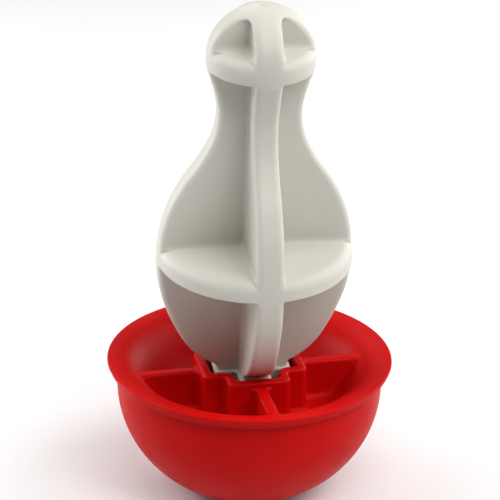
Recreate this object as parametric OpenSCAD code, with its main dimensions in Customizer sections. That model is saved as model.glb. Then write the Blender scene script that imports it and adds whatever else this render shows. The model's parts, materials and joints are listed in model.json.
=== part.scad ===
// Pendulum drinking bowl: a double-walled bowl whose trough is refilled by a
// push valve when the skittle-shaped pendulum in its centre socket is rocked.
// Units are millimetres. Origin: centre of the flat foot. +Z is up, and the
// four arms of the socket and of the pendulum lie along X and Y.

/* [Bowl] */
// Outer radius of the flared rim
rim_r = 90; // [86:0.5:94]
// Height of the rim above the foot
bowl_h = 87; // [84:0.5:90]
// Largest outer radius of the lower shell
body_r = 83.8; // [82:0.2:84]
// Radius of the flat foot
foot_r = 34.2; // [32:0.2:36]
// Wall thickness of both bowl shells
wall = 3; // [2.6:0.1:3.2]
// Depth of the trough floor below the rim
trough_depth = 31.7; // [30:0.1:32]

/* [Socket] */
// Half length of the socket's outside along each arm
socket_reach = 33.5; // [33:0.1:36]
// Half width of the outside of each socket arm
socket_half = 20; // [19.6:0.1:20.4]
// Thickness of the socket wall
socket_wall = 6.6; // [6.2:0.1:6.6]
// Depth of the socket's top edge below the rim
socket_drop = 3; // [3:0.1:5]
// Depth of the webs' top edge below the rim
web_drop = 6.2; // [6:0.1:7]
// Thickness of the four radial webs
web_t = 7.5; // [5:0.1:8]

/* [Pendulum] */
// Angle at which the pendulum leans on the socket when it is let go
lean = 5; // [4:0.25:5]
// Angle by which the loose pendulum stands turned in its socket
twist = 2.8; // [0:0.1:3]
// Height of the ball centre on which the pendulum rocks
pivot_z = 64; // [64:0.1:64.5]
// Thickness of the two crossed plates
plate_t = 17; // [15:0.5:18]
// Radius of the round head
head_r = 32.7; // [31:0.1:33]
// Height of the head's centre above the ball
head_z = 230; // [228:0.5:232]
// Half width of each arm of the pendulum's foot
foot_half = 10.2; // [9.6:0.1:10.2]
// Reach of each arm of the pendulum's foot
foot_reach = 24.2; // [22:0.1:24.4]

/* [Valve] */
// Radius of the female inlet thread's crests (G 1/2)
inlet_r = 9.32; // [9.2:0.01:9.4]
// Length of the inlet thread
inlet_len = 12; // [10:0.5:12]
// Radius of the steel ball under the pendulum
ball_r = 4.5; // [4.2:0.1:4.5]
// Radius of the valve pin's stem
pin_r = 2; // [1.8:0.1:2]

/* [Hidden] */
$fn = 96;
eps = 0.01;

red = [0.80, 0.02, 0.02];
stone_white = [0.86, 0.85, 0.81];
brass = [0.80, 0.64, 0.32];
steel = [0.72, 0.73, 0.75];
rubber = [0.08, 0.08, 0.08];
acetal = [0.20, 0.21, 0.22];

// Bowl levels
floor_z = bowl_h - trough_depth;
socket_top = bowl_h - socket_drop;
web_top = bowl_h - web_drop;
lip_h = 6.5;
shell_top = bowl_h - lip_h;
body_z = 70.5;
body_c = body_z / sqrt(1 - pow(foot_r / body_r, 2));
shell_in_r = body_r - wall - 0.3;
spigot_r = shell_in_r - 0.2;
slab_bottom = floor_z - 5;

// Heights in the valve stack, from the foot up
stem_flange_top = 2.4;
gasket_t = 1.5;
counterbore_z = stem_flange_top + gasket_t;
relief_top = 15.4;
step_z = 34;
ledge_z = 48;
stem_shoulder = slab_bottom - gasket_t;
stem_top = 60;
guide_top = 56;
head_bottom = 57.7;
head_top = 61;
carrier_bottom = 44.5;
stem_r = 14;
thread_r = 8;
bore_low_r = 5.2;
bore_top_r = 5.8;

// Height and radius of the pendulum's outline below the head, above the ball
outline_knots = [[17, 22.4], [19.2, 22.6], [21, 22.7], [24.2, 24.3], [27.4, 30.2],
                 [35, 39], [45, 45.8], [60, 53.2], [75, 58.2], [92, 60.6], [106, 60],
                 [120, 58], [135, 53.5], [150, 45.7], [165, 35.4], [180, 28.1],
                 [195, 25.5], [206, 26.9], [216, 29.6], [224, 32.1]];
shelf_low = 96.2;
shelf_high = 108;
shelf_round = 5;
head_shelf_low = 224.5;
head_shelf_high = 238;
head_shelf_round = 4;
foot_lip = 1.6;
foot_corner = 3;
foot_low = -0.4;
foot_lip_low = 17.5;
foot_lip_top = 19.5;
cup_r = 7;
cup_top = 9;

// Point of a cubic curve through b and c, at t from 0 to 1
function spline(a, b, c, d, t) =
    0.5 * (2 * b + (c - a) * t + (2 * a - 5 * b + 4 * c - d) * t * t
           + (3 * b - a - 3 * c + d) * t * t * t);
// Point of a cubic curve from a to d, drawn towards b and c
function bezier(a, b, c, d, t) =
    pow(1 - t, 3) * a + 3 * pow(1 - t, 2) * t * b + 3 * (1 - t) * t * t * c + t * t * t * d;
function curve(a, b, c, d, n) = [for (i = [0 : n]) bezier(a, b, c, d, i / n)];
function swap(p) = [p[1], p[0]];
function reversed(list) = [for (i = [len(list) - 1 : -1 : 0]) list[i]];

// Radius of an ellipse of half axes a and c at height z above its centre
function ellipse_r(a, c, z) = a * sqrt(1 - z * z / (c * c));

// Right half of the pendulum's outline, from the foot lip up to the pole
knots = len(outline_knots);
neck_side = [for (k = [1 : knots - 3], i = [0 : 3])
    swap(spline(outline_knots[k - 1], outline_knots[k], outline_knots[k + 1],
                outline_knots[k + 2], i / 4))];
head_side = [for (a = [-26 : 8 : 86]) [head_r * cos(a), head_z + head_r * sin(a)]];
pend_side = concat([for (p = neck_side) if (p[1] < head_z - 16) p], head_side);

// Inner face of the trough, from the rim's edge to the flat floor
flare = curve([rim_r - 0.6, bowl_h], [rim_r - 9.5, bowl_h - 0.6],
              [rim_r - 14.5, bowl_h - 3], [rim_r - 17.8, bowl_h - 5.7], 6);
trough_in = curve([rim_r - 17.8, bowl_h - 5.7], [62, 74], [60, floor_z], [44, floor_z], 12);
trough_out = curve([44, floor_z - wall], [62.5, floor_z - wall], [65.5, 72], [74, 78.6], 12);

module ring(r_out, r_in, z0, z1) {
    translate([0, 0, z0]) difference() {
        cylinder(r = r_out, h = z1 - z0);
        translate([0, 0, -1]) cylinder(r = r_in, h = z1 - z0 + 2);
    }
}

// Upright bar with rounded ends: half length a, half width b, corner radius c
module bar(a, b, c) {
    square([2 * a, 2 * (b - c)], center = true);
    square([2 * (a - c), 2 * b], center = true);
    for (x = [-1, 1], y = [-1, 1])
        translate([x * (a - c), y * (b - c)]) circle(r = c, $fn = 32);
}

// Plus-shaped section made of two crossed bars
module plus(a, b, c) {
    bar(a, b, c);
    rotate([0, 0, 90]) bar(a, b, c);
}

// Places a piece of the pendulum, drawn upright above its ball, at its lean
module leaning() {
    translate([0, 0, pivot_z]) rotate([0, 0, -twist]) rotate([lean, 0, 0]) children();
}

// Red trough dish: flared rim, trough, four webs and the plus-shaped socket
module trough_dish() {
    seal_z = shell_top - 4.3;
    rim = [[rim_r, bowl_h - 0.6], [rim_r, bowl_h - 1], [rim_r - 1.4, bowl_h - 3.4],
           [rim_r - 2, bowl_h - 3.8], [rim_r - 2.7, shell_top], [spigot_r, shell_top],
           [spigot_r, seal_z + 1.2], [spigot_r - 1.4, seal_z + 1.2],
           [spigot_r - 1.4, seal_z - 1.2], [spigot_r, seal_z - 1.2],
           [spigot_r, shell_top - 7.5], [spigot_r - 3.6, shell_top - 7.5],
           [spigot_r - 3.6, shell_top - 1]];
    color(red) difference() {
        union() {
            rotate_extrude($fn = 128) polygon(concat(
                flare, trough_in, [[0, floor_z], [0, slab_bottom], [22, slab_bottom]],
                trough_out, reversed(rim)));
            translate([0, 0, floor_z - 1]) linear_extrude(socket_top - floor_z + 1)
                plus(socket_reach, socket_half, 4);
            intersection() {
                translate([0, 0, floor_z - 1]) for (a = [0, 90]) rotate([0, 0, a])
                    translate([-rim_r, -web_t / 2, 0])
                        cube([2 * rim_r, web_t, web_top - floor_z + 1]);
                rotate_extrude($fn = 128) polygon(concat(
                    [[0, web_top + 1], [0, floor_z - 2]], trough_out, [[74, web_top + 1]]));
            }
        }
        translate([0, 0, floor_z]) linear_extrude(bowl_h)
            plus(socket_reach - socket_wall - 0.2, socket_half - socket_wall, 2);
        cylinder(r = thread_r + 0.3, h = bowl_h);
        for (a = [45 : 90 : 315]) rotate([0, 0, a])
            translate([10, -3, floor_z]) cube([20, 6, 3.8]);
    }
}

// Red lower shell: the round underside with its flat foot
module bottom_shell() {
    outer = [for (i = [0 : 24]) let (z = body_z * i / 24)
        [ellipse_r(body_r, body_c, z - body_z), z]];
    inner = [for (i = [24 : -1 : 0]) let (z = wall + (body_z - wall) * i / 24)
        [ellipse_r(shell_in_r, body_c - wall, z - body_z), z]];
    color(red) difference() {
        rotate_extrude($fn = 128) polygon(concat(
            [[0, 0]], outer, [[body_r - 0.4, shell_top], [shell_in_r, shell_top]],
            inner, [[22, wall], [22, 7], [0, 7]]));
        translate([0, 0, -1]) cylinder(r = stem_r + 0.1, h = 10);
        translate([0, 0, -1]) cylinder(r = 19.7, h = counterbore_z + 1);
        screw_places() {
            translate([0, 0, -1]) cylinder(r = 1.9, h = 6);
            translate([0, 0, -1]) cylinder(r = 3.5, h = 2.9);
        }
    }
}

module screw_places() {
    for (a = [30 : 120 : 270]) rotate([0, 0, a]) translate([28, 0, 0]) children();
}

// Rubber ring that seals the dish's spigot in the shell
module rim_seal() {
    color(rubber) rotate_extrude($fn = 128)
        translate([spigot_r - 0.6, shell_top - 4.3]) circle(r = 0.8, $fn = 24);
}

// Iron ring that keeps the bowl upright when the pendulum is knocked
module ballast_ring() {
    top = 22;
    side = [for (i = [0 : 8]) let (z = wall + (top - wall) * i / 8)
        [ellipse_r(shell_in_r, body_c - wall, z - body_z) - 0.4, z]];
    color([0.25, 0.25, 0.26]) difference() {
        rotate_extrude() polygon(concat([[23, wall]], side, [[23, top]]));
        screw_places() translate([0, 0, -1]) cylinder(r = 1.7, h = 15.5);
    }
}

// Three pan-head screws that hold the ballast ring down from under the foot
module ballast_screws() {
    color(steel) screw_places() difference() {
        union() {
            translate([0, 0, 0.3]) cylinder(r = 3.2, h = 1.6);
            translate([0, 0, 1.9]) cylinder(r = 1.7, h = 12);
        }
        for (a = [0, 90]) rotate([0, 0, a]) translate([-2, -0.4, 0]) cube([4, 0.8, 1.2]);
    }
}

// Brass stem that clamps the two shells together and holds the valve
module centre_stem() {
    color(brass) difference() {
        union() {
            translate([0, 0, 0.2]) cylinder(r = 19.5, h = stem_flange_top - 0.2);
            cylinder_between(stem_r, 1, stem_shoulder);
            cylinder_between(thread_r, 1, stem_top);
        }
        cylinder_between(inlet_r, -1, 0.2 + inlet_len);
        cylinder_between(inlet_r + 0.5, 0.2 + inlet_len, relief_top);
        cylinder_between(thread_r, relief_top - eps, step_z);
        cylinder_between(bore_low_r, step_z - eps, ledge_z);
        cylinder_between(bore_top_r, ledge_z - eps, stem_top + 1);
        cylinder_between(bore_top_r + 0.5, guide_top, guide_top + 0.9);
        for (a = [0 : 90 : 270]) rotate([0, 0, a]) translate([17, 0, -1]) cylinder(r = 1.2, h = 2.6);
    }
}

module cylinder_between(r, z0, z1) {
    translate([0, 0, z0]) cylinder(r = r, h = z1 - z0);
}

// Flat rubber seals at the two ends of the stem
module foot_gasket() {
    color(rubber) ring(19.2, stem_r, stem_flange_top, counterbore_z);
}

module stem_gasket() {
    color(rubber) ring(13.6, thread_r, stem_shoulder, slab_bottom);
}

// Washer and thin hexagon nut that pull the dish down on the shell
module nut_washer() {
    color(steel) ring(11.5, thread_r, floor_z, floor_z + 1);
}

module lock_nut() {
    color(brass) difference() {
        translate([0, 0, floor_z + 1]) cylinder(r = 22 / sqrt(3), h = 3.9, $fn = 6);
        cylinder_between(thread_r, floor_z, stem_top + 3);
    }
}

// Flat seal that the supply pipe's end bears on
module inlet_gasket() {
    color(rubber) ring(inlet_r + 0.4, 6, 0.3 + inlet_len, relief_top - 1.5);
}

// Strainer basket that keeps grit off the valve seat
module inlet_filter() {
    color([0.90, 0.90, 0.88]) difference() {
        union() {
            ring(inlet_r - 0.12, 6.6, relief_top - 1.5, relief_top);
            cylinder_between(7.4, relief_top - 1.5, 29);
        }
        cylinder_between(6.6, 0, 28);
        for (z = [17.6 : 2.8 : 26], a = [0 : 45 : 135])
            translate([0, 0, z]) rotate([0, 90, a]) cylinder(r = 0.9, h = 20, center = true, $fn = 24);
    }
}

// Disc with a small hole that sets how fast the trough fills
module flow_restrictor() {
    color(acetal) difference() {
        ring(thread_r, 1.2, 30.5, step_z);
        cylinder_between(4, 30, 32);
    }
}

// Slotted washer that the valve spring stands on
module spring_seat() {
    color(steel) difference() {
        ring(bore_low_r - 0.05, 2.4, step_z, step_z + 1.5);
        for (a = [0 : 120 : 240]) rotate([0, 0, a]) translate([2, -0.7, 30]) cube([2.2, 1.4, 10]);
    }
}

// Coil spring: a round wire swept along a helix, its end turns drawn flat
module valve_spring() {
    wire = 0.45;
    coil_r = 3.4;
    turns = 5.5;
    steps = 110;
    sides = 8;
    low = step_z + 1.5 + wire + 0.02;
    high = carrier_bottom - wire - 0.02;
    pts = [for (i = [0 : steps], k = [0 : sides - 1])
        let (a = 360 * turns * i / steps, b = 360 * k / sides, u = i / steps,
             rise = low + (high - low) * (3 * u * u - 2 * u * u * u),
             r = coil_r + wire * cos(b))
        [r * cos(a), r * sin(a), rise + wire * sin(b)]];
    skin = [for (i = [0 : steps - 1], k = [0 : sides - 1])
        let (p = i * sides + k, q = i * sides + (k + 1) % sides)
        [p, p + sides, q + sides, q]];
    ends = [[for (k = [0 : sides - 1]) k],
            [for (k = [sides - 1 : -1 : 0]) steps * sides + k]];
    color(steel) polyhedron(pts, concat(skin, ends), convexity = 10);
}

// Brass seat ring with its O-ring groove
module valve_seat() {
    color(brass) difference() {
        ring(bore_top_r - 0.05, 3.3, ledge_z, 51.5);
        ring(bore_top_r + 1, 4.55, 49.1, 50.5);
    }
}

module seat_o_ring() {
    color(rubber) rotate_extrude() translate([5.18, 49.8]) circle(r = 0.6, $fn = 24);
}

// Plug that guides the pin, with four small water ways
module pin_guide() {
    color(acetal) difference() {
        ring(bore_top_r - 0.05, pin_r + 0.05, 51.5, guide_top);
        for (a = [0 : 90 : 270]) rotate([0, 0, a]) translate([3.9, 0, 50]) cylinder(r = 0.9, h = 8);
    }
}

// Spring clip in the stem's groove that keeps the guide down
module guide_clip() {
    color(steel) difference() {
        ring(bore_top_r + 0.45, 4.9, guide_top, guide_top + 0.8);
        translate([0, -1.5, 50]) cube([10, 3, 10]);
    }
}

// Stainless valve pin: spring carrier below, ball cup on top
module valve_pin() {
    color(steel) difference() {
        union() {
            cylinder_between(pin_r - 0.2, 38, carrier_bottom + 1);
            cylinder_between(4.6, carrier_bottom, carrier_bottom + 1.5);
            cylinder_between(pin_r, carrier_bottom + 1, head_bottom + 1);
            cylinder_between(4, head_bottom, head_top);
        }
        translate([0, 0, pivot_z]) sphere(r = ball_r + 0.05);
    }
}

// Rubber disc that closes on the seat, and the washer that holds it
module valve_seal() {
    color(rubber) ring(4.6, pin_r, carrier_bottom + 1.5, ledge_z - 0.02);
}

module seal_washer() {
    color(steel) ring(2.9, pin_r, ledge_z - 0.02, ledge_z + 0.6);
}

// Steel ball that the pendulum rocks on
module thrust_ball() {
    color(steel) translate([0, 0, pivot_z]) sphere(r = ball_r);
}

module plate() {
    right = concat([[neck_side[0][0], foot_lip_low + 1]], pend_side);
    left = [for (p = reversed(right)) [-p[0], p[1]]];
    rotate([90, 0, 0]) linear_extrude(plate_t, center = true)
        polygon(concat(right, [[0, head_z + head_r]], left));
}

// Round shelf just inside the outline from z0 to z1, its top edge rounded
module shelf(z0, z1, round_r) {
    inset = 0.5;
    side = [for (p = pend_side) if (p[1] > z0 && p[1] < z1 - round_r) [p[0] - inset, p[1]]];
    top_r = side[len(side) - 1][0];
    edge = [for (a = [0 : 15 : 90])
        [top_r - round_r * (1 - cos(a)), z1 - round_r * (1 - sin(a))]];
    rotate_extrude() polygon(concat([[0, z0], [side[0][0], z0]], side, edge, [[0, z1]]));
}

// Off-white pendulum: two crossed skittle-shaped plates, two shelves, plus-shaped foot
module pendulum() {
    color(stone_white) leaning() difference() {
        union() {
            plate();
            rotate([0, 0, 90]) plate();
            shelf(shelf_low, shelf_high, shelf_round);
            shelf(head_shelf_low, head_shelf_high, head_shelf_round);
            translate([0, 0, foot_low]) linear_extrude(foot_lip_low - foot_low + 1)
                plus(foot_reach - foot_lip, foot_half - 1, foot_corner);
            translate([0, 0, foot_lip_low]) linear_extrude(foot_lip_top - foot_lip_low)
                plus(foot_reach, foot_half, foot_corner);
        }
        translate([0, 0, foot_low - 1]) cylinder(r = cup_r, h = cup_top - foot_low + 1);
    }
}

// Acetal cup pressed into the pendulum, which sits on the ball
module pivot_cup() {
    color(acetal) leaning() difference() {
        translate([0, 0, foot_low]) cylinder(r = cup_r, h = cup_top - foot_low);
        sphere(r = ball_r + 0.05);
        translate([0, 0, foot_low - 1]) cylinder(r = ball_r + 0.05, h = 1 - foot_low);
    }
}

trough_dish();
bottom_shell();
rim_seal();
ballast_ring();
ballast_screws();
centre_stem();
foot_gasket();
stem_gasket();
nut_washer();
lock_nut();
inlet_gasket();
inlet_filter();
flow_restrictor();
spring_seat();
valve_spring();
valve_seat();
seat_o_ring();
pin_guide();
guide_clip();
valve_pin();
valve_seal();
seal_washer();
thrust_ball();
pendulum();
pivot_cup();
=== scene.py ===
import json
import math

import bpy
import numpy as np
from mathutils import Matrix, Vector


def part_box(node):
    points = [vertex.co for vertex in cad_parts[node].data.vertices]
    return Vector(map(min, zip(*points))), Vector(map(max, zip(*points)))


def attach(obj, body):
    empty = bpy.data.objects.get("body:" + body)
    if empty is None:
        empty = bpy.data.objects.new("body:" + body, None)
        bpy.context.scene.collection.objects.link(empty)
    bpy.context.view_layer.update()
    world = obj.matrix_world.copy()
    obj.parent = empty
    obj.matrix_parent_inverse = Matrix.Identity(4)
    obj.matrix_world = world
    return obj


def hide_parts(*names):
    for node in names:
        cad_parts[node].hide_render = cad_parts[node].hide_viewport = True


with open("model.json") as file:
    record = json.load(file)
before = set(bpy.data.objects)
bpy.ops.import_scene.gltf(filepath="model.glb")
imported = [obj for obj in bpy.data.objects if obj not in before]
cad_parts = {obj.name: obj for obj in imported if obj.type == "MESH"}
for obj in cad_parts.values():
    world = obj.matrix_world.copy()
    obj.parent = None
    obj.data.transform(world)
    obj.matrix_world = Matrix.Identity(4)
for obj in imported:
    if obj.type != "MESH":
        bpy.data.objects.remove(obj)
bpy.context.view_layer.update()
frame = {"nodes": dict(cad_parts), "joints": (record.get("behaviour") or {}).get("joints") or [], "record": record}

# ---------------------------------------------------------------- trough dish
# The upper half of the bowl, injection moulded in glossy red plastic in one
# piece: a flared rim with a stepped lip, the trough, the plus-shaped socket
# for the pendulum and four webs. Its spigot sits inside the lower shell.
MM = 0.001
dish_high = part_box("trough_dish")[1]
rim_r = dish_high.x
rim_z = dish_high.z
floor_z = rim_z - 31.7 * MM
lip_z = rim_z - 6.5 * MM
dish_wall = 3 * MM


def cubic(a, b, c, d, n):
    """n + 1 points of the cubic from a to d that is drawn towards b and c."""
    t = np.linspace(0, 1, n + 1)[:, None]
    a, b, c, d = (np.array(p, float) for p in (a, b, c, d))
    return (1 - t) ** 3 * a + 3 * (1 - t) ** 2 * t * b + 3 * (1 - t) * t ** 2 * c + t ** 3 * d


def corner(centre, radius, start, stop, n):
    """n + 1 points of a round corner about centre, between two angles in degrees."""
    a = np.radians(np.linspace(start, stop, n + 1))
    return np.stack([centre[0] + radius * np.cos(a), centre[1] + radius * np.sin(a)], 1)


def lathe(profile, around=256):
    """Rows of points: each (radius, height) of the profile turned once about Z."""
    profile = np.array(profile, float)
    a = np.linspace(0, 2 * math.pi, around, endpoint=False)
    r, z = profile[:, :1], profile[:, 1:]
    return np.stack([r * np.cos(a), r * np.sin(a), z + 0 * a], 2)


def skin(rows, closed_rows=False):
    """Vertices and faces of a closed surface over a grid of rows, each row a ring.
    The two end rings are capped from their middles unless the rows meet as well."""
    m, n = rows.shape[:2]
    verts = rows.reshape(-1, 3)
    i = np.arange(m if closed_rows else m - 1)[:, None]
    j = np.arange(n)[None, :]
    k, l = (i + 1) % m, (j + 1) % n
    quads = np.stack([i * n + j, i * n + l, k * n + l, k * n + j], 2).reshape(-1, 4)
    faces = quads.tolist()
    if not closed_rows:
        verts = np.concatenate([verts, rows[:1].mean(1), rows[-1:].mean(1)])
        j = np.arange(n)
        first = np.stack([np.full(n, m * n), (j + 1) % n, j], 1)
        last = np.stack([np.full(n, m * n + 1), (m - 1) * n + j, (m - 1) * n + (j + 1) % n], 1)
        faces += first.tolist() + last.tolist()
    return verts, faces


def new_piece(name, parts, sharp_deg=38):
    """One mesh object from a list of (vertices, faces), each turned outwards if its
    signed volume says that it is inside out, and smooth apart from sharp edges."""
    verts, faces, start = [], [], 0
    for part_verts, part_faces in parts:
        tri = np.array([(f[0], f[k], f[k + 1])
                        for f in part_faces for k in range(1, len(f) - 1)])
        p, q, r = (part_verts[tri[:, k]] for k in range(3))
        inside_out = (p * np.cross(q, r)).sum() < 0
        faces += [[v + start for v in (f[::-1] if inside_out else f)] for f in part_faces]
        verts.append(part_verts)
        start += len(part_verts)
    mesh = bpy.data.meshes.new(name)
    mesh.from_pydata(np.concatenate(verts).tolist(), [], faces)
    mesh.polygons.foreach_set("use_smooth", np.ones(len(mesh.polygons), bool))
    mesh.set_sharp_from_angle(angle=math.radians(sharp_deg))
    mesh.update()
    piece = bpy.data.objects.new(name, mesh)
    bpy.context.scene.collection.objects.link(piece)
    return piece


# Half section of the dish: flat floor, curved trough wall, flare, stepped lip,
# spigot and underside, round the hole for the stem
stem_hole_r = 8.3 * MM
flat_r = 44 * MM
boss_r = 22 * MM
boss_depth = 5 * MM
flare_foot = (rim_r - 17.8 * MM, rim_z - 5.7 * MM)
trough_curve = cubic(flare_foot, (62 * MM, 74 * MM), (60 * MM, floor_z), (flat_r, floor_z), 48)
rim_edge = 0.9 * MM
flare_curve = cubic((rim_r - rim_edge, rim_z), (rim_r - 9.5 * MM, rim_z - 0.5 * MM),
                    (rim_r - 14.5 * MM, rim_z - 2.9 * MM), flare_foot, 24)
dish_under = cubic((flat_r, floor_z - dish_wall), (62.5 * MM, floor_z - dish_wall),
                   (65.5 * MM, 72 * MM), (74 * MM, 78.6 * MM), 24)
spigot_r = 80.3 * MM
spigot_len = 7.5 * MM
spigot_wall = 3.6 * MM
step_edge = 0.35 * MM
lip_edge_round = 0.7 * MM
lip_edge = np.concatenate([
    corner((rim_r - rim_edge, rim_z - rim_edge), rim_edge, 90, -12, 8),
    [(rim_r - 1.1 * MM, rim_z - 3.0 * MM)],
    corner((rim_r - 1.5 * MM, rim_z - 3.5 * MM), step_edge, 20, -80, 4),
    [(rim_r - 2.0 * MM, rim_z - 4.0 * MM)],
    corner((rim_r - 3.4 * MM, lip_z + lip_edge_round), lip_edge_round, 5, -90, 6),
    [(spigot_r, lip_z), (spigot_r, lip_z - spigot_len),
     (spigot_r - spigot_wall, lip_z - spigot_len), (spigot_r - spigot_wall, lip_z - 1 * MM)]])
dish_profile = np.concatenate([
    [(stem_hole_r, floor_z)], trough_curve[::-1], flare_curve[-2::-1], lip_edge[1:],
    dish_under[::-1], [(boss_r, floor_z - boss_depth), (stem_hole_r, floor_z - boss_depth)]])


def plus_section(reach, half, edge, nook):
    """Outlines of a plus, one row for each entry of the four arrays: arms that reach
    out to reach and are half wide each side, with round corners of radius edge at
    their ends and of radius nook between them. All rows have the same point count."""
    sizes = (np.atleast_1d(np.array(v, float))[:, None] for v in (reach, half, edge, nook))
    reach, half, edge, nook = np.broadcast_arrays(*sizes)
    room = np.clip(0.98 * (reach - half) / (edge + nook), 0, 1)
    edge, nook = edge * room, nook * room
    t_end = np.linspace(0, 1, 5)[:-1]
    a = np.linspace(0, math.pi / 2, 8)[:-1]
    t_side = np.linspace(0, 1, 15)[:-1]
    b = np.linspace(-math.pi / 2, -0.75 * math.pi, 6)
    side_x = (reach - edge) + (half + nook - reach + edge) * t_side
    x = np.concatenate([reach + 0 * t_end, reach - edge + edge * np.cos(a), side_x,
                        half + nook + nook * np.cos(b)], 1)
    y = np.concatenate([(half - edge) * t_end, half - edge + edge * np.sin(a),
                        half + 0 * side_x, half + nook + nook * np.sin(b)], 1)
    x, y = np.concatenate([x, y[:, -2:0:-1]], 1), np.concatenate([y, x[:, -2:0:-1]], 1)
    quarters = [(x, y), (-y, x), (-x, -y), (y, -x)]
    return np.stack([np.concatenate([q[0] for q in quarters], 1),
                     np.concatenate([q[1] for q in quarters], 1)], 2)


# Socket wall: its cross-section, from the outer foot over the round top edge and
# down inside, as (inset from the outside, height); the wall thins a little upwards
socket_z = rim_z - 3 * MM
socket_reach = 33.5 * MM
socket_half = 20.0 * MM
socket_wall = 6.6 * MM
outer_round = 2.2 * MM
inner_round = 1.6 * MM
foot_round = 3.0 * MM
outer_draft = 0.25 * MM
inner_draft = 0.2 * MM
sunk_z = floor_z - 1 * MM
outer_foot = corner((-foot_round, floor_z + foot_round), foot_round, -90, 0, 6)
outer_top = corner((outer_round + outer_draft, socket_z - outer_round), outer_round, 180, 90, 7)
inner_top = corner((socket_wall - inner_draft - inner_round, socket_z - inner_round),
                   inner_round, 90, 0, 6)
wall_path = np.concatenate([
    [(0.5 * MM, sunk_z), (-foot_round, sunk_z)], outer_foot,
    outer_top, inner_top, [(socket_wall, floor_z + 1 * MM), (socket_wall, sunk_z)]])
inset = wall_path[:, 0]
socket_outline = plus_section(socket_reach - inset, socket_half - inset,
                              np.clip(5.0 * MM - inset, 2.0 * MM, 9 * MM),
                              np.clip(2.5 * MM + inset, 0.5 * MM, 9 * MM))
socket_rows = np.concatenate([socket_outline, np.broadcast_to(
    wall_path[:, None, 1:], socket_outline.shape[:2] + (1,))], 2)

# Webs: plates with a round top that run out from the socket, thicker where they
# meet the floor, the trough wall and the socket, as moulded corners are
web_half = 3.7 * MM
web_top = rim_z - 6.1 * MM
web_round = 2.3 * MM
corner_round = 4 * MM


def moulded_corner(distance):
    """Extra half thickness of a web that close to another surface: a round corner."""
    d = np.clip(corner_round - distance, 0, corner_round)
    return corner_round - np.sqrt(corner_round ** 2 - d ** 2)


def web_rows(turn):
    """Rings of one web, turned about Z, from inside the socket wall to inside the
    trough wall: half thickness = plate + round corners near other faces - round top."""
    flank = np.linspace(floor_z - 1.5 * MM, web_top - web_round, 30)
    top_a = np.radians([20, 40, 60, 78, 90])
    levels = np.concatenate([flank, web_top - web_round + web_round * np.sin(top_a)])
    shrink = np.concatenate([0 * flank, web_round * (1 - np.cos(top_a))])
    wall_x = np.interp(levels, trough_curve[::-1, 1], trough_curve[::-1, 0])
    t = np.linspace(0, 1, 56)[:, None]
    start = socket_reach - 3 * MM
    x = start + (wall_x + 1.2 * MM - start) * t
    z = levels + 0 * t
    below = np.interp(x, trough_curve[::-1, 0], trough_curve[::-1, 1])
    slope = np.gradient(trough_curve[::-1, 1], trough_curve[::-1, 0])
    lean = np.interp(x, trough_curve[::-1, 0], 1 / np.sqrt(1 + slope ** 2))
    clear = (z - below) * lean
    half = web_half + moulded_corner(clear) + moulded_corner(x - socket_reach) - shrink
    left = np.stack([x, half, z], 2)
    right = np.stack([x, -half, z], 2)[:, ::-1]
    rings = np.concatenate([left, right], 1)
    c, s = math.cos(turn), math.sin(turn)
    return np.stack([rings[..., 0] * c - rings[..., 1] * s,
                     rings[..., 0] * s + rings[..., 1] * c, rings[..., 2]], 2)


dish = new_piece("trough_dish_moulding", [
    skin(lathe(dish_profile), closed_rows=True), skin(socket_rows, closed_rows=True)]
    + [skin(web_rows(quarter * math.pi / 2)) for quarter in range(4)])
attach(dish, "bowl")
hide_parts("trough_dish")


def shader(name, color, roughness, **sockets):
    """A new material with its Principled shader's own sockets set."""
    material = bpy.data.materials.new(name)
    material.use_nodes = True
    tree = material.node_tree
    bsdf = tree.nodes["Principled BSDF"]
    bsdf.inputs["Base Color"].default_value = (*color, 1)
    bsdf.inputs["Roughness"].default_value = roughness
    for socket, value in sockets.items():
        bsdf.inputs[socket.replace("_", " ")].default_value = value
    return material, tree, bsdf


def pattern(tree, kind, scale, detail=3.0, stretch=(1, 1, 1)):
    """A noise or cell texture on the piece's own coordinates, scale per metre."""
    place = tree.nodes.new("ShaderNodeTexCoord")
    mapping = tree.nodes.new("ShaderNodeMapping")
    mapping.inputs["Scale"].default_value = stretch
    tree.links.new(place.outputs["Object"], mapping.inputs["Vector"])
    texture = tree.nodes.new(kind)
    texture.inputs["Scale"].default_value = scale
    if "Detail" in texture.inputs:
        texture.inputs["Detail"].default_value = detail
    tree.links.new(mapping.outputs["Vector"], texture.inputs["Vector"])
    return texture


def spread(tree, value, low, high, to_low, to_high):
    """Maps a texture value between low and high to between to_low and to_high."""
    node = tree.nodes.new("ShaderNodeMapRange")
    node.inputs["From Min"].default_value = low
    node.inputs["From Max"].default_value = high
    node.inputs["To Min"].default_value = to_low
    node.inputs["To Max"].default_value = to_high
    tree.links.new(value, node.inputs["Value"])
    return node.outputs["Result"]


def two_tone(tree, value, first, second):
    """A colour between two, by a value from 0 to 1."""
    node = tree.nodes.new("ShaderNodeMix")
    node.data_type = "RGBA"
    node.inputs["A"].default_value = (*first, 1)
    node.inputs["B"].default_value = (*second, 1)
    tree.links.new(value, node.inputs["Factor"])
    return node.outputs["Result"]


def bump(tree, bsdf, height, distance, strength=1.0, under=None):
    """Adds a bump of that height in metres to the shader, over another if given."""
    node = tree.nodes.new("ShaderNodeBump")
    node.inputs["Strength"].default_value = strength
    node.inputs["Distance"].default_value = distance
    tree.links.new(height, node.inputs["Height"])
    if under is not None:
        tree.links.new(under.outputs["Normal"], node.inputs["Normal"])
    tree.links.new(node.outputs["Normal"], bsdf.inputs["Normal"])
    return node


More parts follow.
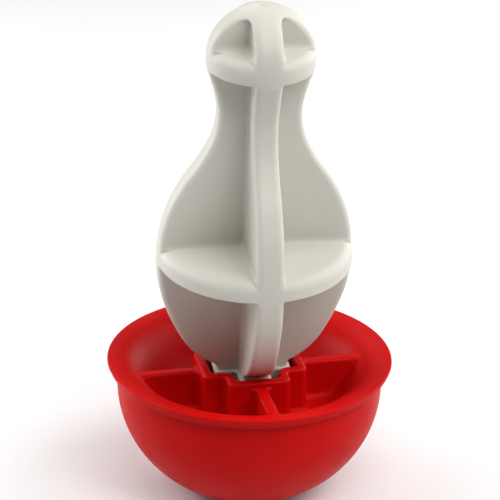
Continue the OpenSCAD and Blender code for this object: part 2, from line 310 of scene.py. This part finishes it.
def moulded_gloss(name, colors, roughness, specular, scales, depths):
    """Moulded plastic: a slow drift between two colours where the melt flowed, hazy
    patches of roughness, a fine grain, and broad shallow sinks. The scales are those
    of flow, haze, grain and sinks per metre, the depths those of grain and sinks."""
    middle = tuple((a + b) / 2 for a, b in zip(*colors))
    material, tree, bsdf = shader(name, middle, sum(roughness) / 2, Specular_IOR_Level=specular)
    flow = pattern(tree, "ShaderNodeTexNoise", scales[0][0], scales[0][1])
    drift = spread(tree, flow.outputs["Fac"], 0.3, 0.7, 0, 1)
    tree.links.new(two_tone(tree, drift, *colors), bsdf.inputs["Base Color"])
    haze = pattern(tree, "ShaderNodeTexNoise", scales[1], 4)
    patches = spread(tree, haze.outputs["Fac"], 0.3, 0.7, *roughness)
    tree.links.new(patches, bsdf.inputs["Roughness"])
    grain = pattern(tree, "ShaderNodeTexNoise", scales[2], 2)
    fine = bump(tree, bsdf, grain.outputs["Fac"], depths[0])
    sink = pattern(tree, "ShaderNodeTexNoise", scales[3], 2)
    bump(tree, bsdf, sink.outputs["Fac"], depths[1], under=fine)
    return material


red = moulded_gloss(
    "red_moulded_plastic", ((0.44, 0.0012, 0.0012), (0.50, 0.0022, 0.0020)), (0.36, 0.50), 0.06,
    scales=((14, 2), 60, 2600, 90), depths=(0.012 * MM, 0.12 * MM))
dish.data.materials.append(red)

# --------------------------------------------------------------- bottom shell
# The lower half of the bowl, moulded in the same red plastic: a round shell
# with a flat foot, a boss and recess for the stem's flange in its middle and
# three recesses for the ballast screws. Its top edge hides under the lip.
shell_r = 83.8 * MM
foot_r = 34.2 * MM
waist_z = 70.5 * MM
shell_c = waist_z / math.sqrt(1 - (foot_r / shell_r) ** 2)
inner_r = shell_r - 3.3 * MM
inner_c = shell_c - dish_wall


def ellipse_side(radius, semi_height, low, high, n):
    """Side of an ellipse centred at the waist, between two heights: radius times the
    cosine, and semi_height times the sine, of evenly spaced angles."""
    first, last = (math.asin((z - waist_z) / semi_height) for z in (low, high))
    a = np.linspace(first, last, n + 1)
    return np.stack([radius * np.cos(a), waist_z + semi_height * np.sin(a)], 1)


outer_side = ellipse_side(shell_r, shell_c, 0.4 * MM, waist_z, 72)
inner_side = ellipse_side(inner_r, inner_c, dish_wall, waist_z, 24)
bore_r = 14.1 * MM
recess_r = 19.7 * MM
recess_z = 3.9 * MM
foot_boss_z = 7 * MM
shell_profile = np.concatenate([
    [(bore_r, recess_z), (recess_r, recess_z), (recess_r, 0), (foot_r - 1 * MM, 0)],
    outer_side, [(shell_r - 0.2 * MM, 76 * MM), (shell_r - 0.4 * MM, lip_z), (inner_r, lip_z)],
    inner_side[::-1], [(boss_r, dish_wall), (boss_r, foot_boss_z), (bore_r, foot_boss_z)]])
shell = new_piece("bottom_shell_moulding", [skin(lathe(shell_profile), closed_rows=True)])
shell.data.materials.append(red)


def drill(piece, centre_xy, radius, low, high):
    """Cuts a straight round hole, upright, out of a piece."""
    ring = corner(centre_xy, radius, 0, 360, 48)[:-1]
    rows = np.stack([np.column_stack([ring, np.full(48, z)]) for z in (low, high)])
    cutter = new_piece("cutter", [skin(rows)])
    cut = piece.modifiers.new("hole", "BOOLEAN")
    cut.operation = "DIFFERENCE"
    cut.solver = "EXACT"
    cut.object = cutter
    bpy.context.view_layer.update()
    finished = piece.evaluated_get(bpy.context.evaluated_depsgraph_get())
    done = bpy.data.meshes.new_from_object(finished)
    piece.modifiers.clear()
    piece.data = done
    bpy.data.objects.remove(cutter)


screw_circle_r = 28 * MM
screw_head_r, screw_head_depth = 3.5 * MM, 1.9 * MM
screw_shank_r = 1.9 * MM
clear = 1 * MM
for degrees in (30, 150, 270):
    a = math.radians(degrees)
    at = (screw_circle_r * math.cos(a), screw_circle_r * math.sin(a))
    drill(shell, at, screw_head_r, -clear, screw_head_depth)
    drill(shell, at, screw_shank_r, -clear, 2 * dish_wall)
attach(shell, "bowl")
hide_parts("bottom_shell")

# ------------------------------------------------------------------- pendulum
# The pendulum is one off-white moulding: two crossed plates with the outline
# of a skittle, a round shelf at the belly and one at the neck, and a plus-shaped
# foot with a lip that stands in the socket. It leans on the socket's edge.
ball_low, ball_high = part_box("thrust_ball")
pivot = (ball_low + ball_high) / 2
tilt_axis = next(j["axis"] for j in frame["joints"] if j["child"] == "pendulum")
lean_angle = math.asin(tilt_axis[2])
twist = math.atan2(tilt_axis[0], tilt_axis[1])
head_r = 32.7 * MM
head_z = 230 * MM
outline_knots = np.array([
    [17, 22.4], [19.2, 22.6], [21, 22.7], [24.2, 24.3], [27.4, 30.2], [35, 39], [45, 45.8],
    [60, 53.2], [75, 58.2], [92, 60.6], [106, 60], [120, 58], [135, 53.5], [150, 45.7],
    [165, 35.4], [180, 28.1], [195, 25.5], [206, 26.9], [216, 29.6], [224, 32.1]]) * MM


def outline_radius(z):
    """Radius of the outline at height z above the ball: a smooth cubic through the
    knots up to the head, then the head's circle, and the wider of the two between."""
    t = np.linspace(0, 1, 9)[:-1, None, None]
    p = outline_knots
    before, first, last, after = p[:-3], p[1:-2], p[2:-1], p[3:]
    curve = 0.5 * (2 * first + (last - before) * t
                   + (2 * before - 5 * first + 4 * last - after) * t ** 2
                   + (3 * first - before - 3 * last + after) * t ** 3)
    curve = curve.transpose(1, 0, 2).reshape(-1, 2)
    neck = np.interp(z, curve[:, 0], curve[:, 1])
    head = np.sqrt(np.clip(head_r ** 2 - (z - head_z) ** 2, 0, None))
    join_low, join_high = head_z - 15 * MM, head_z - 13 * MM
    either = np.where(z > join_high, head, np.maximum(neck, head))
    return np.where(z < join_low, neck, either)


plate_half_knots = np.array([[0, 8.5], [92, 8.5], [130, 8.3], [180, 7.7], [205, 8.0],
                             [235, 8.6], [262.7, 8.6]]) * MM
edge_round_knots = np.array([[30, 2.6], [60, 4.0], [240, 4.0], [250, 5.0]]) * MM
nook_round = 1.2 * MM
shelf_low, shelf_high = 96.2 * MM, 108 * MM
head_shelf_low, head_shelf_high = 224.5 * MM, 238 * MM
foot_low = -0.4 * MM
lip_low, lip_high = 17.5 * MM, 19.5 * MM


def plate_half(z):
    """Half thickness of the crossed plates at height z."""
    return np.interp(z, plate_half_knots[:, 0], plate_half_knots[:, 1])


def with_height(outline, z):
    """Adds the heights z, one for each row, to rows of flat points."""
    z = np.broadcast_to(np.reshape(z, (len(outline), -1, 1)), outline.shape[:2] + (1,))
    return np.concatenate([outline, z], 2)


def plates_at(z):
    """Rows of the two crossed plates at the heights z, their edges rounder upwards."""
    edge_round = np.interp(z, edge_round_knots[:, 0], edge_round_knots[:, 1])
    return plus_section(outline_radius(z), plate_half(z), edge_round, nook_round)


def disc_at(radius, like):
    """Rows of round outlines whose points lie outside those of a plus: at the plus's
    own angles round an arm's end, and spread evenly between two arms."""
    angle = np.unwrap(np.arctan2(like[..., 1], like[..., 0]), axis=1)
    n = like.shape[1] // 4
    eighth = n // 2
    arm_end = 11
    k = np.arange(n)
    k = np.minimum(k, n - k)
    first = angle[:, arm_end][:, None]
    even = first + (math.pi / 4 - first) * np.clip((k - arm_end) / (eighth - arm_end), 0, None)
    own = angle[:, np.minimum(k, arm_end)]
    mixed = np.where(k <= arm_end, own, even)
    mixed = np.where(np.arange(n) > eighth, math.pi / 2 - mixed, mixed)
    full = np.concatenate([mixed + q * math.pi / 2 for q in range(4)], 1)
    radius = np.reshape(radius, (-1, 1))
    return np.stack([radius * np.cos(full), radius * np.sin(full)], 2)


def shelf_turn(z_face, z_disc, z_plate, edge, fillet, n=9):
    """Rows that turn from a shelf's round wall at z_disc over its flat face at z_face
    into the plates at z_plate: a round edge, the flat face and a round nook, each
    point moved inwards from the outline at its own height towards the plates."""
    plate = plates_at(np.array([z_plate]))
    outward = disc_at(np.ones(1), plate)
    gap = plate - outward * outline_radius(z_plate)
    length = np.linalg.norm(gap, axis=2, keepdims=True)
    way = gap / np.maximum(length, 1e-9)
    up = 1 if z_plate > z_disc else -1
    k = np.clip(length / (edge + fillet), 0, 1)
    a = np.radians(np.linspace(0, 90, n))[:, None, None]
    t = np.linspace(0, 1, 7)[1:-1][:, None, None]
    round_in = (edge * k * (1 - np.cos(a)), -edge * k * (1 - np.sin(a)))
    flat_in = (edge * k + (length - (edge + fillet) * k) * t, 0 * k * t)
    nook_in = (length - fillet * k * (1 - np.sin(a)), fillet * k * (1 - np.cos(a)))
    inset = np.concatenate([round_in[0], flat_in[0], nook_in[0]])
    rise = np.concatenate([round_in[1], flat_in[1], nook_in[1]])
    ramp = np.linspace(-edge, fillet, len(inset))[:, None, None]
    height = z_face + up * (rise + (1 - k) * ramp)
    rows = np.concatenate([outward * outline_radius(height) + way * inset, height], 2)
    return rows if up > 0 else rows[::-1]


def shelf_rows(low, high, top_edge):
    """Rows of one shelf: underside, round wall and top."""
    under_edge, under_nook, top_nook = 0.7 * MM, 2.0 * MM, 3.8 * MM
    wall_z = np.linspace(low + under_edge, high - top_edge, 7)[1:-1]
    plate = plates_at(wall_z)
    return [shelf_turn(low, low + under_edge, low - under_nook, under_edge, under_nook),
            with_height(disc_at(outline_radius(wall_z), plate), wall_z),
            shelf_turn(high, high - top_edge, high + top_nook, top_edge, top_nook)]


# Foot: blind hole for the cup, plus-shaped block with a lip round its top
hole_r, hole_top = 7 * MM, 9 * MM
foot_reach, foot_half = 24.2 * MM, 10.2 * MM
block_reach, block_half = foot_reach - 1.6 * MM, foot_half - 1.0 * MM
foot_path = np.array([
    (block_reach - 1.0 * MM, block_half - 1.0 * MM, foot_low),
    (block_reach - 0.3 * MM, block_half - 0.3 * MM, foot_low + 0.3 * MM),
    (block_reach, block_half, foot_low + 1.0 * MM),
    (block_reach, block_half, lip_low - 1.0 * MM),
    (block_reach + 0.3 * MM, block_half + 0.2 * MM, lip_low - 0.2 * MM),
    (foot_reach - 0.5 * MM, foot_half - 0.4 * MM, lip_low),
    (foot_reach, foot_half, lip_low + 0.5 * MM),
    (foot_reach, foot_half, lip_high - 0.6 * MM),
    (foot_reach - 0.2 * MM, foot_half - 0.2 * MM, lip_high - 0.15 * MM),
    (foot_reach - 0.6 * MM, foot_half - 0.6 * MM, lip_high)])
foot_edge, foot_nook = 2.8 * MM, 2.4 * MM
foot = plus_section(foot_path[:, 0], foot_path[:, 1], foot_edge, foot_nook)
foot = with_height(foot, foot_path[:, 2])
hole = disc_at(np.full(2, hole_r), foot[:2, :, :2])
hole = with_height(hole, [hole_top, foot_low])

# Heights of the rows: close together where the plates spread above the foot, then
# every 3 mm, and over the head by angle; near its top the plates fill out to a dome
row_step, shelf_gap = 3 * MM, 4 * MM
spread_z = np.array([19.6, 20.1, 20.8, 21.6, 22.4, 23.2, 24.0, 25.0, 26.0, 27.3, 29.2, 31.6]) * MM
plates_z = np.concatenate([spread_z, np.arange(34.5 * MM, shelf_low - shelf_gap, row_step)])
middle_z = np.arange(shelf_high + 6 * MM, head_shelf_low - shelf_gap, row_step)
dome_a = np.radians(np.concatenate([np.arange(25, 78, 2.0), np.arange(78, 89.6, 1.5)]))
dome_z = head_z + head_r * np.sin(dome_a)
dome_plates = plates_at(dome_z)
fill_low, fill_depth = head_z + 25.5 * MM, 5 * MM
fill = np.clip((dome_z - fill_low) / fill_depth, 0, 1)
fill = (fill * fill * (3 - 2 * fill))[:, None, None]
dome_rows = dome_plates * (1 - fill) + disc_at(outline_radius(dome_z), dome_plates) * fill
pendulum_rows = np.concatenate(
    [hole, foot, with_height(plates_at(plates_z), plates_z)]
    + shelf_rows(shelf_low, shelf_high, 6 * MM)
    + [with_height(plates_at(middle_z), middle_z)]
    + shelf_rows(head_shelf_low, head_shelf_high, 5 * MM)
    + [with_height(dome_rows, dome_z)])

# From the pendulum's own upright place on the ball to its lean, turned by the twist
x, y, z = (pendulum_rows[..., axis] for axis in range(3))
c, s = math.cos(lean_angle), math.sin(lean_angle)
y, z = y * c - z * s, y * s + z * c
c, s = math.cos(twist), math.sin(twist)
pendulum_rows = np.stack([x * c + y * s + pivot.x, y * c - x * s + pivot.y, z + pivot.z], 2)
pendulum = new_piece("pendulum_moulding", [skin(pendulum_rows)])
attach(pendulum, "pendulum")
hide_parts("pendulum")

white = moulded_gloss(
    "off_white_moulded_plastic", ((0.50, 0.485, 0.43), (0.54, 0.525, 0.47)), (0.38, 0.50), 0.25,
    scales=((10, 3), 45, 2200, 70), depths=(0.015 * MM, 0.18 * MM))
pendulum.data.materials.append(white)


# ------------------------------------------------------------- metal and seals
# Brass stem, nut and seat, stainless valve parts and screws, rubber seals and
# acetal plugs: turned or moulded pieces that keep their machined shapes.
def turned_metal(name, color, roughness, ring_scale):
    """Metal with fine turning marks round Z and a faint cloud of handling dulling."""
    material, tree, bsdf = shader(name, color, roughness, Metallic=1.0)
    marks = pattern(tree, "ShaderNodeTexNoise", ring_scale, 2, stretch=(0.05, 0.05, 1))
    cloud = pattern(tree, "ShaderNodeTexNoise", 120, 4)
    dulling = spread(tree, cloud.outputs["Fac"], 0.3, 0.7, roughness - 0.08, roughness + 0.12)
    tree.links.new(dulling, bsdf.inputs["Roughness"])
    darker = tuple(v * 0.8 for v in color)
    tree.links.new(two_tone(tree, cloud.outputs["Fac"], color, darker), bsdf.inputs["Base Color"])
    bump(tree, bsdf, marks.outputs["Fac"], 0.03 * MM)
    return material


def moulded(name, color, roughness, grain_scale, depth):
    """Moulded rubber or plastic with a fine even grain."""
    material, tree, bsdf = shader(name, color, roughness)
    cloud = pattern(tree, "ShaderNodeTexNoise", 90, 4)
    lighter = tuple(min(1, v * 1.35 + 0.01) for v in color)
    tone = two_tone(tree, cloud.outputs["Fac"], color, lighter)
    tree.links.new(tone, bsdf.inputs["Base Color"])
    patches = spread(tree, cloud.outputs["Fac"], 0.3, 0.7, roughness - 0.06, roughness + 0.08)
    tree.links.new(patches, bsdf.inputs["Roughness"])
    grain = pattern(tree, "ShaderNodeTexNoise", grain_scale, 2)
    bump(tree, bsdf, grain.outputs["Fac"], depth)
    return material


finishes = {
    "brass": turned_metal("turned_brass", (0.66, 0.42, 0.14), 0.30, 3000),
    "stainless": turned_metal("turned_stainless", (0.58, 0.58, 0.59), 0.28, 3000),
    "black_rubber": moulded("black_moulded_rubber", (0.012, 0.012, 0.012), 0.7, 3500, 0.03 * MM),
    "acetal": moulded("dark_acetal", (0.02, 0.022, 0.024), 0.45, 2500, 0.01 * MM),
    "filter_nylon": moulded("natural_nylon", (0.75, 0.74, 0.68), 0.5, 2500, 0.01 * MM),
    "ballast_iron": moulded("painted_cast_iron", (0.05, 0.05, 0.055), 0.6, 900, 0.2 * MM)}
slots = {entry["node"]: entry["material_slot"] for entry in frame["record"]["subparts"]}
for name, node in frame["nodes"].items():
    if slots[name] in finishes:
        node.data.materials.clear()
        node.data.materials.append(finishes[slots[name]])

# ------------------------------------------------------------ floor and lights
# A plain pale sheet under the bowl, and large soft lights: a main one at the front
# right, others at both sides, behind and above, and none low down in front.
floor_mesh = bpy.data.meshes.new("floor")
half_floor = 6.0
floor_corners = [(-half_floor, -half_floor, 0), (half_floor, -half_floor, 0),
                 (half_floor, half_floor, 0), (-half_floor, half_floor, 0)]
floor_mesh.from_pydata(floor_corners, [], [(0, 1, 2, 3)])
floor = bpy.data.objects.new("floor", floor_mesh)
bpy.context.scene.collection.objects.link(floor)
paper, tree, bsdf = shader("pale_paper", (0.72, 0.72, 0.72), 0.9)
fibre = pattern(tree, "ShaderNodeTexNoise", 30, 3)
matt = spread(tree, fibre.outputs["Fac"], 0.3, 0.7, 0.85, 0.95)
tree.links.new(matt, bsdf.inputs["Roughness"])
floor_mesh.materials.append(paper)


def soft_light(name, place, power, size=0.9, aim=(0, 0, 0.13)):
    """A square soft light of that side and power in watts, at place, that faces aim."""
    lamp = bpy.data.lights.new(name, "AREA")
    lamp.shape = "RECTANGLE"
    lamp.size = size
    lamp.size_y = size
    lamp.energy = power
    light = bpy.data.objects.new(name, lamp)
    light.location = place
    light.rotation_euler = (Vector(aim) - Vector(place)).to_track_quat("-Z", "Y").to_euler()
    bpy.context.scene.collection.objects.link(light)


soft_light("left_side_box", (-1.4, 0.1, 0.45), 1.3)
soft_light("left_top_box", (-1.1, 0.0, 1.3), 10.2)
soft_light("left_back_box", (-1.1, 0.9, 0.5), 16.5)
soft_light("right_back_box", (1.1, 0.9, 0.5), 8.0)
soft_light("right_side_box", (1.4, 0.1, 0.45), 5.0)
soft_light("right_top_box", (1.1, 0.0, 1.3), 11.6)
soft_light("right_front_box", (0.8, -1.1, 1.3), 14.6)
soft_light("front_top_box", (0.0, -0.9, 1.6), 10.6)
soft_light("back_top_box", (0.0, 1.3, 1.2), 4.8)
soft_light("top_box", (0.0, 0.1, 1.7), 2.4, size=1.2)

world = bpy.data.worlds.new("studio")
world.use_nodes = True
world.node_tree.nodes["Background"].inputs["Color"].default_value = (1, 1, 1, 1)
world.node_tree.nodes["Background"].inputs["Strength"].default_value = 0.01
bpy.context.scene.world = world
bpy.context.scene.view_settings.view_transform = "Standard"

# --------------------------------------------------------------------- camera
# A long lens a metre and a half from the rim, 26 degrees up and 13 degrees to
# the left of the front web, turned a little so that the bowl's right is lower.
rise, swing, roll = math.radians(26.2), math.radians(13.1), math.radians(1.0)
distance = 1.5
aim = Vector((0.00545, 0.02757, 0.1474))
camera_data = bpy.data.cameras.new("camera")
camera_data.sensor_width = 36
camera_data.lens = 170.5
camera = bpy.data.objects.new("camera", camera_data)
level = distance * math.cos(rise)
place = Vector((-level * math.sin(swing), -level * math.cos(swing),
                rim_z + distance * math.sin(rise)))
facing = (aim - place).to_track_quat("-Z", "Y").to_matrix().to_4x4()
camera.matrix_world = Matrix.Translation(place) @ facing @ Matrix.Rotation(roll, 4, "Z")
bpy.context.scene.collection.objects.link(camera)
bpy.context.scene.camera = camera
